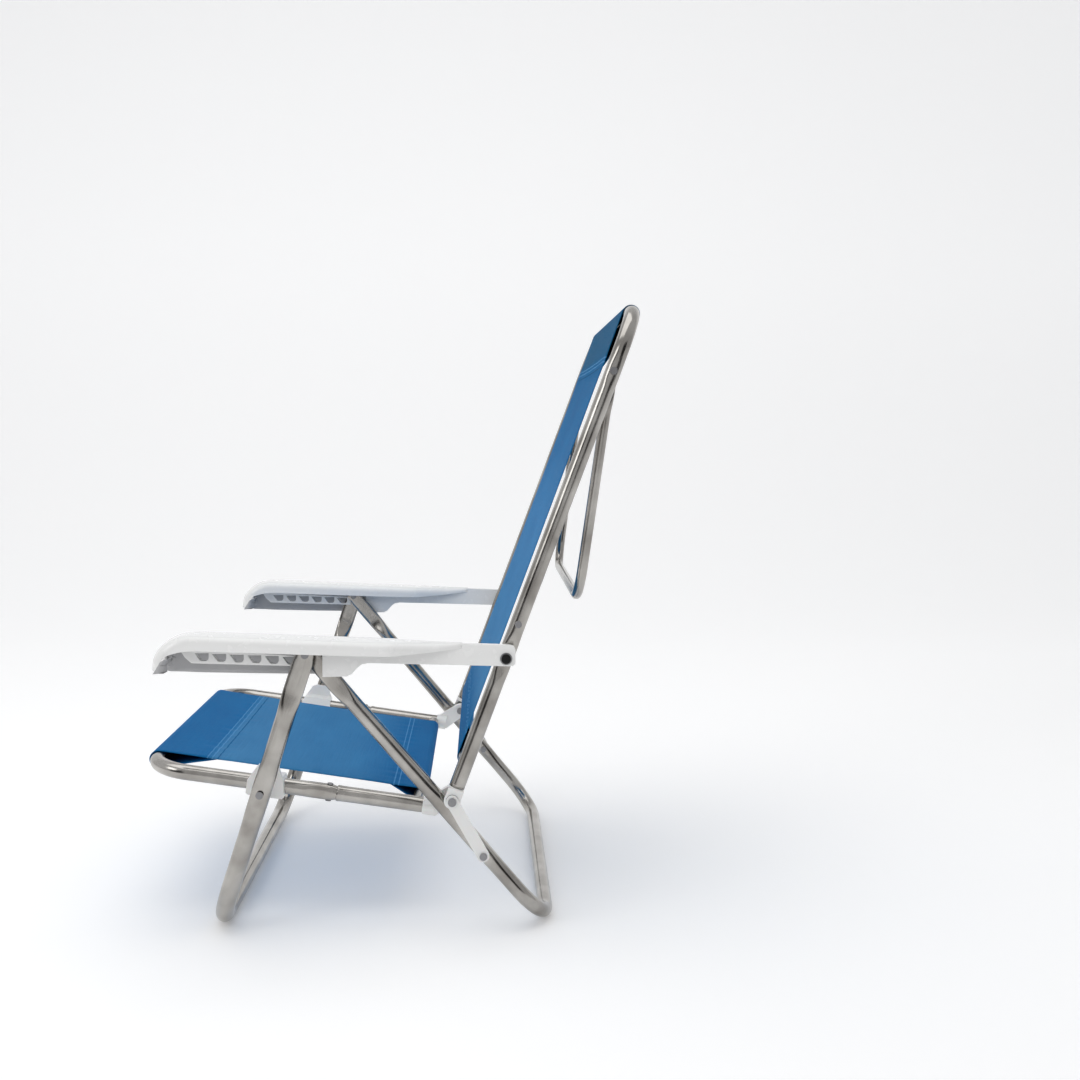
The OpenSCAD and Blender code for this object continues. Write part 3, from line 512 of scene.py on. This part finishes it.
# Seat sling, 376 mm wide, of blue coated mesh: a 66 mm hem goes round the seat
# bow in front and a 36 mm one round the rear bar, each closed by two stitch rows.
seat_cloth, length, s, profile = strip("seat_sling_cloth", 0.188,
                                       ((-0.142, half_tube), (0.186, half_bar)), 0.0010,
                                       seat_rivet, back, above, (0.066, 0.036), 0.0022, 0.004)
top_y = profile[:, 0]
front_seam = float(np.interp(-0.142 + 0.062, top_y[38:98], s[38:98]))
rear_seam = float(np.interp(0.186 - 0.032, top_y[38:98], s[38:98]))
seat_cloth.data.materials.append(mesh_cloth(
    "seat_mesh_fabric", length, (front_seam, rear_seam),
    [(0, "0C629B"), (front_seam - 0.004, "126BA6"), (front_seam + 0.006, "3D80B2"),
     (rear_seam - 0.06, "347DB1"), (rear_seam, "136BA5"), (length, "0C629B")]))
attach(seat_cloth, "seat")
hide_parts("seat_sling")

# Back sling, 410 mm wide, of the same mesh: a 36 mm hem goes round the low bar
# and a 66 mm one round the top of the frame, where the doubled cloth looks darker.
back_cloth, length, s, profile = strip("back_sling_cloth", 0.205,
                                       ((0.040, half_bar), (post_top, half_tube)), 0.0010,
                                       hinge, up_post, -behind, (0.036, 0.066), 0.0035, 0.006)
top_y = profile[:, 0]
low_seam = float(np.interp(0.040 + 0.032, top_y[38:98], s[38:98]))
high_seam = float(np.interp(0.622 - 0.062, top_y[38:98], s[38:98]))
back_cloth.data.materials.append(mesh_cloth(
    "back_mesh_fabric", length, (low_seam, high_seam),
    [(0, "0A6499"), (low_seam, "146CA4"), (low_seam + 0.05, "3E84B7"), (length * 0.5, "2F7AB2"),
     (high_seam - 0.12, "176BA3"), (high_seam, "056094"), (high_seam + 0.01, "01567F"), (length, "015076")]))
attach(back_cloth, "backrest")
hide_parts("back_sling")

# Plastic fittings: seat clamps, rail ends, links and backrest caps are white
# injection moulded polypropylene, riveted or plugged on, with a fine satin skin
# that softens the light, and slow changes of tone where the plastic flowed.
white_plastic, tree, shader = finish_of("moulded_white_polypropylene", "EDEDEB", 0.36, Coat_Weight=0.15,
                                        Coat_Roughness=0.25, Subsurface_Weight=0.06, Subsurface_Scale=0.004)
place = node(tree, "ShaderNodeTexCoord")
skin = node(tree, "ShaderNodeTexNoise", {"Vector": place.outputs["Object"]}, Scale=900.0, Detail=2.0)
flow = node(tree, "ShaderNodeTexNoise", {"Vector": place.outputs["Object"]}, Scale=14.0, Detail=2.0)
rough = node(tree, "ShaderNodeMapRange", {"Value": flow.outputs["Fac"]},
             From_Min=0.3, From_Max=0.7, To_Min=0.3, To_Max=0.42)
tree.links.new(rough.outputs[0], shader.inputs["Roughness"])
tone = node(tree, "ShaderNodeValToRGB", {"Fac": flow.outputs["Fac"]})
tone.color_ramp.elements[0].color, tone.color_ramp.elements[1].color = linear("E8E8E6"), linear("F3F3F2")
tree.links.new(tone.outputs[0], shader.inputs["Base Color"])
satin = node(tree, "ShaderNodeBump", {"Height": skin.outputs["Fac"]}, Strength=0.05, Distance=0.0002)
tree.links.new(satin.outputs[0], shader.inputs["Normal"])
dress(white_plastic, "seat_clamp_left", "seat_clamp_right", "rail_end_left", "rail_end_right",
      "link_left", "link_right", "backrest_cap_left", "backrest_cap_right")

# Fixings: rivets, bolts, pins and bushes in plain steel, tumbled bright, which
# leaves fine nicks that scatter the glints, and the two armrest screws in black.
steel, tree, shader = finish_of("tumbled_steel_fixing", "8E8E90", 0.34, 1.0)
place = node(tree, "ShaderNodeTexCoord")
nick = node(tree, "ShaderNodeTexNoise", {"Vector": place.outputs["Object"]}, Scale=700.0, Detail=3.0)
rough = node(tree, "ShaderNodeMapRange", {"Value": nick.outputs["Fac"]},
             From_Min=0.3, From_Max=0.7, To_Min=0.25, To_Max=0.5)
tree.links.new(rough.outputs[0], shader.inputs["Roughness"])
nicked = node(tree, "ShaderNodeBump", {"Height": nick.outputs["Fac"]}, Strength=0.15, Distance=0.0002)
tree.links.new(nicked.outputs[0], shader.inputs["Normal"])
dress(steel, "leg_pivot_pins", "link_rivets", "seat_rivets", "hinge_bolts", "seat_joint_rivets",
      "hinge_bush_left", "hinge_bush_right", "support_rivets", "post_rivets",
      "armrest_bush_left", "armrest_bush_right")
# blacked steel: nearly black, with an uneven dull sheen
black, tree, shader = finish_of("blacked_steel_screw", "141414", 0.4, 0.6)
place = node(tree, "ShaderNodeTexCoord")
nick = node(tree, "ShaderNodeTexNoise", {"Vector": place.outputs["Object"]}, Scale=700.0)
rough = node(tree, "ShaderNodeMapRange", {"Value": nick.outputs["Fac"]},
             From_Min=0.3, From_Max=0.7, To_Min=0.3, To_Max=0.55)
tree.links.new(rough.outputs[0], shader.inputs["Roughness"])
dress(black, "armrest_screw_left", "armrest_screw_right")

# Armrests: one white moulding used on both sides. A rounded channel runs from
# a drooping nose to a flat rear plate; its deep skirt is on the same hand on
# both, and under it a rack with windows holds the slot that rides on the pins.
# outside: off a polished mould face, so soft highlights run along its rounded edges
gloss_plastic, tree, shader = finish_of("polished_white_polypropylene", "F1F1F0", 0.24,
                                        Coat_Weight=0.3, Coat_Roughness=0.12)
place = node(tree, "ShaderNodeTexCoord")
drawn_out = node(tree, "ShaderNodeMapping", {"Vector": place.outputs["Object"]}, Scale=(60, 9, 60))
ripple = node(tree, "ShaderNodeTexNoise", {"Vector": drawn_out.outputs[0]}, Scale=1.0, Detail=2.0)
scuff = node(tree, "ShaderNodeTexNoise", {"Vector": place.outputs["Object"]}, Scale=90.0, Detail=2.0)
rough = node(tree, "ShaderNodeMapRange", {"Value": scuff.outputs["Fac"]},
             From_Min=0.35, From_Max=0.7, To_Min=0.22, To_Max=0.29)
tree.links.new(rough.outputs[0], shader.inputs["Roughness"])
tone = node(tree, "ShaderNodeValToRGB", {"Fac": ripple.outputs["Fac"]})
tone.color_ramp.elements[0].color, tone.color_ramp.elements[1].color = linear("ECECEA"), linear("F6F6F5")
tree.links.new(tone.outputs[0], shader.inputs["Base Color"])
wavy = node(tree, "ShaderNodeBump", {"Height": ripple.outputs["Fac"]}, Strength=0.012, Distance=0.0003)
tree.links.new(wavy.outputs[0], shader.inputs["Normal"])

# inside of the channel: the same plastic, rougher and duller, with its colour painted grey as painted shade
# so that the hollow of the channel and the rack's windows read as dark
painted_shade_inside, tree, shader = finish_of("unpolished_white_polypropylene", "B4B4B5", 0.6)
place = node(tree, "ShaderNodeTexCoord")
shade_mottle = node(tree, "ShaderNodeTexNoise", {"Vector": place.outputs["Object"]}, Scale=60.0, Detail=2.0)
tone = node(tree, "ShaderNodeValToRGB", {"Fac": shade_mottle.outputs["Fac"]})
tone.color_ramp.elements[0].color, tone.color_ramp.elements[1].color = linear("ABABAD"), linear("B9B9BA")
tree.links.new(tone.outputs[0], shader.inputs["Base Color"])

screw_y, screw_z, pin_z = arm_screw[1] + shift, arm_screw[2], upper_pin[2]
nose, gusset, rear_end, channel_end = screw_y - 0.411, screw_y - 0.186, screw_y + 0.011, 0.096


def top_of(y):
    """Height of the armrest's top: level at the nose end, falling 4.1 mm in 100 towards the rear."""
    return pin_z + 0.0245 - (y + 0.214) * 0.041


def smoothed(values, turns):
    """Each turn replaces a point by a quarter of each neighbour and half of itself; the ends stay."""
    for _ in range(turns):
        values[1:-1] = 0.25 * values[:-2] + 0.5 * values[1:-1] + 0.25 * values[2:]
    return values


def channel(name, x_mid):
    """The channel. A side-view line runs from the nose's lip over the top to the rear. At each of its
    stations the section goes up one skirt, round a corner of radius r, across, round and down:
    corner point = line - normal r(1 - cos a), x = half - r + r sin a."""
    mm = 0.001
    keys = np.array([(0, -16.5), (1.0, -5), (3.6, 1.5), (7, 6.5), (12, 12), (18, 17), (25, 20.8), (33, 23.3),
                     (42, 24.5)]) * mm
    keys[:, 0] += nose
    keys[:, 1] += pin_z
    rest = np.array([nose + 0.052, -0.15, -0.086, gusset - 0.002, gusset + 0.004, gusset + 0.012,
                     gusset + 0.016, 0.014, 0.06, channel_end])
    keys = np.concatenate([keys, np.stack([rest, top_of(rest)], -1)])
    outer = np.array([(6, -18.5), (10.5, -12), (12.5, -6), (15, -2), (19.5, 1.0), (25, 3.0), (31, 4.6),
                      (37, 5.8), (44, 6.7)]) * mm
    outer[:, 0] += nose
    band = top_of(rest) - np.array([17.6, 17.4, 17.1, 16.9, 16.8, 16.8, 16.7, 16.1, 11.2, 6.6]) * mm
    outer[:, 1] += pin_z
    outer = np.concatenate([outer, np.stack([rest, band], -1)])
    inner = np.array([(4.5, -19.5), (7.5, -21), (9.5, -22.5), (12, -24), (16, -24.6), (21, -24.9),
                      (27, -25.2), (34, -25.5), (43, -26)]) * mm
    inner[:, 0] += nose
    inner[:, 1] += pin_z
    low = pin_z + np.array([-26.3, -27.8, -28.8, -28.5, -25, -18, -9, -6, -1, 2]) * mm
    inner = np.concatenate([inner, np.stack([rest, low], -1)])
    u = np.r_[0, np.cumsum(np.linalg.norm(np.diff(keys, axis=0), axis=1))]
    t = np.concatenate([np.linspace(0, 0.075, 46, endpoint=False), np.linspace(0.075, u[-1], 90)])
    line, outer, inner = (smoothed(np.stack([np.interp(t, u, k[:, 0]), np.interp(t, u, k[:, 1])], -1), n)
                          for k, n in ((keys, 10), (outer, 8), (inner, 3)))
    way = np.gradient(line, t, axis=0)
    way /= np.linalg.norm(way, axis=1)[:, None]
    normal = np.stack([-way[:, 1], way[:, 0]], -1)
    half = np.interp(line[:, 0], [nose + 0.002, nose + 0.012, 0.012, channel_end],
                     [0.0235, 0.025, 0.025, 0.0041])
    r = np.minimum(np.interp(t, [0, 0.03, 0.07], [0.013, 0.012, 0.0095]), 0.75 * half)[:, None]
    half = half[:, None]
    a = np.linspace(math.pi / 2, 0, 9)[None]
    corner_x, corner_d = half - r + r * np.sin(a), r * (1 - np.cos(a))
    flat_x = (half - r) * np.linspace(1, -1, 13)[None, 1:-1]
    crown = 0.0007 * (flat_x / 0.016) ** 2
    x = np.concatenate([corner_x, flat_x, -corner_x[:, ::-1]], 1)
    depth = np.concatenate([corner_d + 0.0007, crown, corner_d[:, ::-1] + 0.0007], 1)
    top = line[:, None] - depth[..., None] * normal[:, None]
    w = np.linspace(0, 1, 9, endpoint=False)[None, :, None]
    skirt_out = outer[:, None] * (1 - w) + top[:, :1] * w
    skirt_in = top[:, -1:] * w[:, ::-1] + inner[:, None] * (1 - w[:, ::-1])
    yz = np.concatenate([skirt_out, top, skirt_in], 1)
    x = np.concatenate([np.repeat(x[:, :1], 9, 1), x, np.repeat(x[:, -1:], 9, 1)], 1)
    points = np.stack([x + x_mid, yz[..., 0] - shift, yz[..., 1]], -1)
    obj = surface(name, points, grid_faces(len(t), x.shape[1]))
    lip = obj.vertex_groups.new(name="lip")
    weight = np.repeat(np.interp(t, [0, 0.022, 0.05], [1.0, 0.75, 0.38]), x.shape[1])
    for level in np.unique(weight):
        lip.add(np.flatnonzero(weight == level).tolist(), float(level), "REPLACE")
    wall = obj.modifiers.new("wall", "SOLIDIFY")
    wall.thickness, wall.offset, wall.vertex_group, wall.use_even_offset = 0.0078, -1.0, "lip", False
    wall.material_offset = 1  # the inner shell takes the grey material with the painted shade
    return obj


def rack(name, x_mid):
    """The middle plate, 8 mm thick: one outline in side view with its slot and gate, and round or
    slanted holes, given thickness and a small rounded edge."""
    mm, z = 0.001, pin_z
    gate_far = screw_y - np.linalg.norm(upper_pin[1:] - arm_screw[1:]) + 0.0188
    gate_near = gate_far - 0.0245
    slot_y = np.linspace(gate_near, -0.2304, 12)
    slot_z = z + (slot_y + 0.086) * -0.0597
    end = np.linspace(math.pi / 2, 1.5 * math.pi, 8)[1:-1]
    outline = [(nose + 0.046, top_of(nose + 0.052) - 0.002), (rear_end - 0.008, top_of(rear_end) - 0.0003),
               (rear_end - 0.002, top_of(rear_end) - 0.0015), (rear_end, top_of(rear_end) - 0.006),
               (rear_end, screw_z - 0.006),
               (rear_end - 0.003, screw_z - 0.009), (gusset + 0.024, z - 0.0118), (gusset + 0.016, z - 0.0135),
               (gusset + 0.010, z - 0.0185), (gusset + 0.005, z - 0.0245), (gusset - 0.001, z - 0.0275),
               (gate_far, z - 0.028), (gate_far, z + 0.003)]
    slot_half = 0.0029
    outline += list(zip(slot_y, slot_z + slot_half))
    outline += list(zip(slot_y[-1] + slot_half * np.cos(end), slot_z[-1] + slot_half * np.sin(end)))
    outline += list(zip(slot_y[::-1], slot_z[::-1] - slot_half))
    outline += [(gate_near, z - 0.0150), (-0.219, z - 0.0108), (-0.2265, z - 0.004), (-0.231, z + 0.003),
                (nose + 0.024, z + 0.009), (nose + 0.027, z + 0.018)]
    holes = []
    for k in range(6):
        y = (-97.5 - 20.3 * k) * mm
        z1, h = z - 0.0034 - (y + 0.103) * 0.045, 0.0090
        holes.append([(y - 0.0158, z1), (y - 0.0114, z1 - h * 0.74), (y - 0.0098, z1 - h * 0.94),
                      (y - 0.0076, z1 - h),
                      (y - 0.0030, z1 - h), (y - 0.0010, z1 - h * 0.86), (y, z1 - h * 0.6), (y, z1)])
    a = np.linspace(0, 2 * math.pi, 32, endpoint=False)
    bush_hole = 0.00706
    holes.append(list(zip(screw_y + bush_hole * np.cos(a), screw_z + bush_hole * np.sin(a))))
    curve = bpy.data.curves.new(name, "CURVE")
    curve.dimensions, curve.fill_mode = "2D", "BOTH"
    curve.extrude, curve.bevel_depth, curve.bevel_resolution, curve.offset = 0.0034, 0.0006, 2, -0.0006
    for loop in [outline] + holes:
        spline = curve.splines.new("POLY")
        spline.points.add(len(loop) - 1)
        spline.points.foreach_set("co", np.array([(y, h, 0, 1) for y, h in loop], float).ravel())
        spline.use_cyclic_u = True
    flat_plate = bpy.data.objects.new(name, curve)
    scene.collection.objects.link(flat_plate)
    mesh = bpy.data.meshes.new_from_object(flat_plate)
    bpy.data.objects.remove(flat_plate)
    co = np.empty(len(mesh.vertices) * 3)
    mesh.vertices.foreach_get("co", co)
    co = co.reshape(-1, 3)
    mesh.vertices.foreach_set("co", np.stack([co[:, 2] + x_mid, co[:, 0] - shift, co[:, 1]], -1).ravel())
    work = bmesh.new()
    work.from_mesh(mesh)
    bmesh.ops.remove_doubles(work, verts=work.verts, dist=1e-6)
    bmesh.ops.recalc_face_normals(work, faces=work.faces)
    work.to_mesh(mesh)
    work.free()
    mesh.shade_flat()
    obj = bpy.data.objects.new(name, mesh)
    scene.collection.objects.link(obj)
    return obj


for side_name, sign in (("left", 1), ("right", -1)):
    body = "armrest_" + side_name
    for piece in (channel("armrest_channel_" + side_name, sign * 0.272),
                  rack("armrest_rack_" + side_name, sign * 0.272)):
        piece.data.materials.clear()
        piece.data.materials.append(gloss_plastic)
        if "channel" in piece.name:
            # the channel's inner shell takes the second material, grey with painted shade
            piece.data.materials.append(painted_shade_inside)
        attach(piece, body)
        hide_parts(body)
